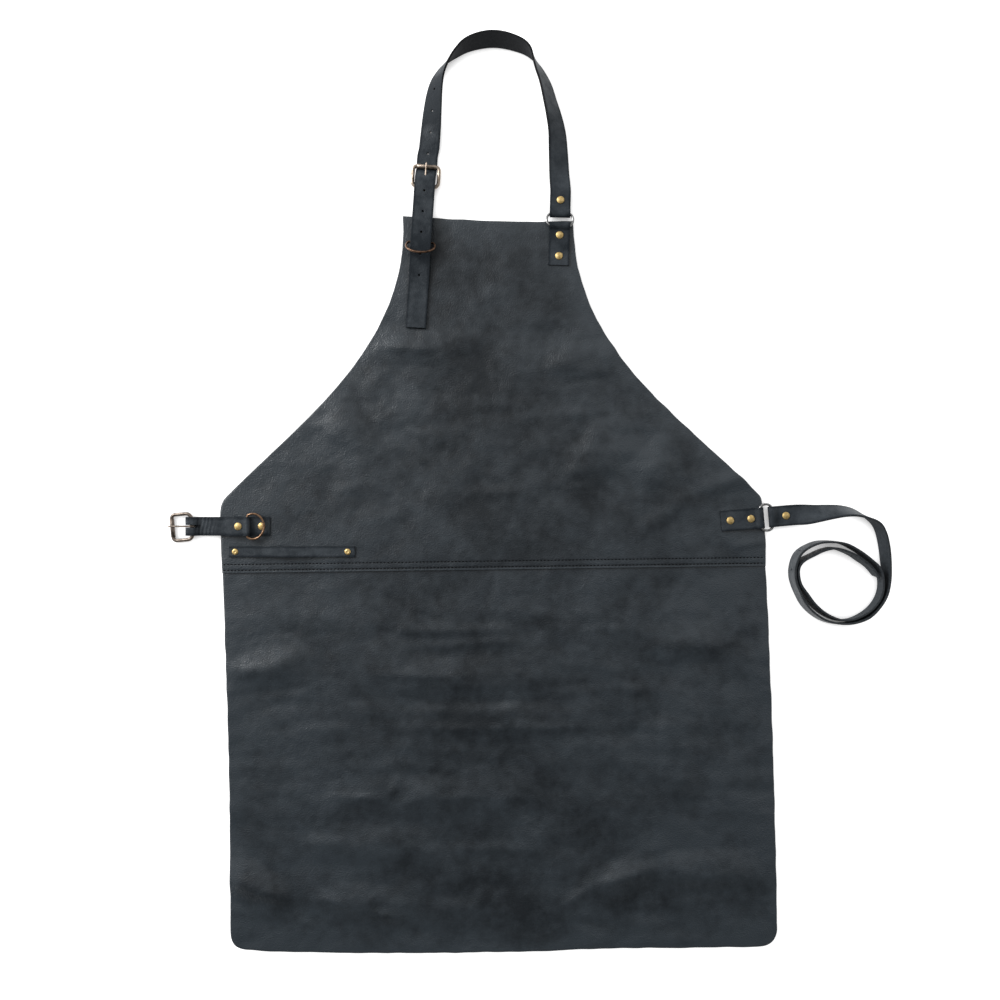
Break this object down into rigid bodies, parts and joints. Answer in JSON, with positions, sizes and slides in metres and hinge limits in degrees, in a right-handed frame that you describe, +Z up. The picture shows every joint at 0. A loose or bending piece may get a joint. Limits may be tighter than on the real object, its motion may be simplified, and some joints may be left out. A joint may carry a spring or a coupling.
{
  "type": "leather bib apron",
  "caption": "Dark leather work apron lying flat, with a bib, a skirt, a buckled neck strap, a coiled waist belt on a ring and a riveted towel strip.",
  "frame": {"origin": "on the surface the apron lies on, under the middle of the waist seam, at the skirt's back face", "axes": "+X towards the side that carries the belt, +Y towards the neck, +Z up out of the apron's front"},
  "size_m": [0.7858, 1.004, 0.0226],
  "materials": {
    "hide": "waxed, mottled, slightly worn",
    "strap": "smooth grain side, matt flesh side",
    "brass": "polished",
    "old_brass": "antique, satin",
    "bronze": "antique copper, satin",
    "nickel": "nickel plated"
  },
  "bodies": {
    "apron": {"skirt_panel": "hide", "bib_panel": "hide", "neck_strap": "strap", "waist_strap": "strap", "neck_buckle_tab": "strap", "waist_buckle_tab": "strap", "neck_anchor_tab": "strap", "waist_anchor_tab": "strap", "towel_strip": "strap", "neck_tab_rivet_1": "brass", "neck_tab_rivet_2": "brass", "waist_tab_rivet_1": "brass", "waist_tab_rivet_2": "brass", "neck_anchor_rivet_1": "brass", "neck_anchor_rivet_2": "brass", "neck_strap_rivet": "brass", "waist_anchor_rivet_1": "brass", "waist_anchor_rivet_2": "brass", "waist_strap_rivet": "brass", "towel_rivet_left": "brass", "towel_rivet_right": "brass", "neck_buckle_frame": "old_brass", "neck_buckle_prong": "old_brass", "neck_keeper_ring": "bronze", "neck_ring": "nickel", "waist_ring": "nickel"},
    "waist_buckle": {"waist_buckle_frame": "old_brass"},
    "waist_prong": {"waist_buckle_prong": "old_brass"},
    "waist_keeper": {"waist_keeper_ring": "bronze"}
  },
  "joints": [
    {"name": "waist_buckle_swing", "type": "hinge", "parent": "apron", "child": "waist_buckle", "pos_m": [-0.3319, 0.0438, 0.0046], "axis": [-0.0872, 0.9962, 0], "range_deg": [0, 70]},
    {"name": "waist_prong_swing", "type": "hinge", "parent": "waist_buckle", "child": "waist_prong", "pos_m": [-0.3319, 0.0438, 0.0046], "axis": [0, 1, 0], "range_deg": [0, 75]},
    {"name": "waist_keeper_swing", "type": "hinge", "parent": "apron", "child": "waist_keeper", "pos_m": [-0.2699, 0.0438, 0.0087], "axis": [0, -1, 0], "range_deg": [0, 150]}
  ]
}
